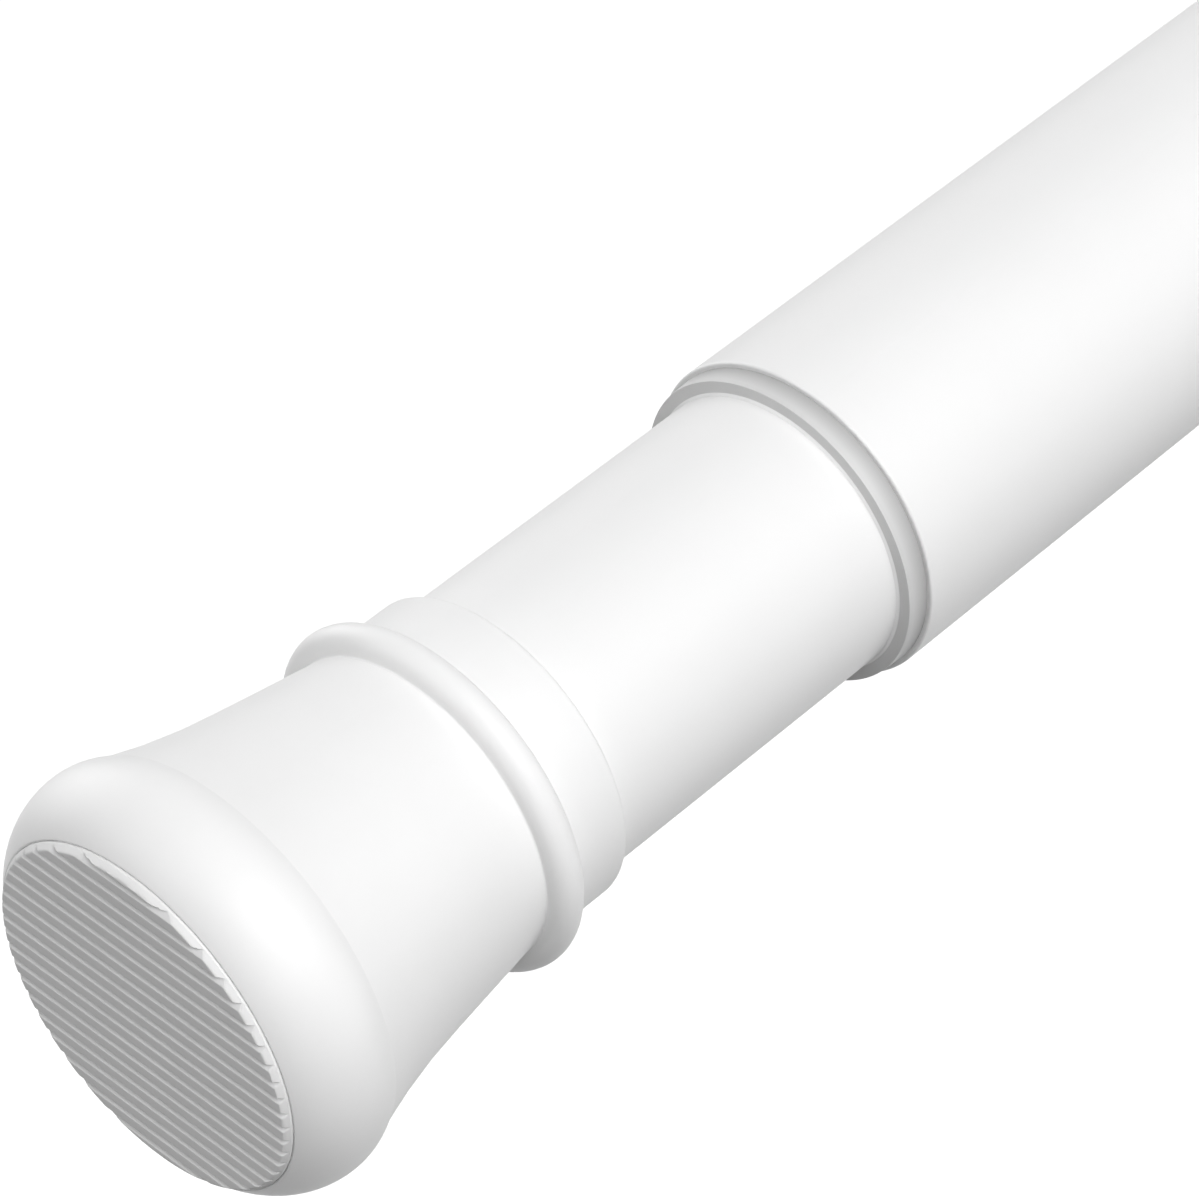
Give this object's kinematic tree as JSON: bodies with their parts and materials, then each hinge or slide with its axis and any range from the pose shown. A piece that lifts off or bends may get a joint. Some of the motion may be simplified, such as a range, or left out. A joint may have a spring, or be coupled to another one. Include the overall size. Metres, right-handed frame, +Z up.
{
  "type": "spring tension rod",
  "caption": "White telescopic rod with flared end caps and ribbed grip pads; an inner spring and a twist lock wedge it between facing walls to carry a curtain.",
  "frame": {"origin": "middle of the wall face of the outer tube's grip pad", "axes": "+X along the rod, out of the rod into the wall at the outer tube's end; +Z up, with the pads' grooves level along Y"},
  "size_m": [0.6371, 0.035, 0.035],
  "materials": {
    "tube_paint": "smooth satin white paint",
    "cap_plastic": "satin moulded white",
    "pad_rubber": "matt white rubber, ribbed",
    "bushing_plastic": "satin moulded off-white",
    "inner_plastic": "matt natural nylon",
    "zinc_steel": "bright zinc plate",
    "spring_steel": "drawn spring wire"
  },
  "bodies": {
    "outer": {"outer_tube": "tube_paint", "mouth_bushing": "bushing_plastic", "outer_end_cap": "cap_plastic", "outer_grip_pad": "pad_rubber"},
    "lock": {"lock_ring": "inner_plastic"},
    "plunger": {"plunger_rod": "zinc_steel", "plunger_head": "inner_plastic", "spring_washer": "zinc_steel", "plunger_nut": "zinc_steel", "lock_cam": "inner_plastic", "cam_washer": "zinc_steel", "cam_screw": "zinc_steel"},
    "inner": {"inner_tube": "tube_paint", "inner_end_cap": "cap_plastic", "inner_grip_pad": "pad_rubber", "guide_bush": "inner_plastic", "guide_bush_rivets": "zinc_steel", "stop_plug": "inner_plastic", "stop_plug_pin": "zinc_steel", "compression_spring": "spring_steel"}
  },
  "joints": [
    {"name": "length_slide", "type": "slide", "parent": "outer", "child": "lock", "axis": [1, 0, 0], "range_m": [-0.378, 0.0076]},
    {"name": "lock_twist", "type": "hinge", "parent": "lock", "child": "plunger", "pos_m": [-0.0437, 0, 0], "axis": [1, 0, 0], "range_deg": [-90, 90]},
    {"name": "spring_slide", "type": "slide", "parent": "plunger", "child": "inner", "axis": [1, 0, 0], "range_m": [0, 0.02], "stiffness_N_per_m": 2400, "springref_m": -0.012, "deforming": ["compression_spring"]}
  ]
}
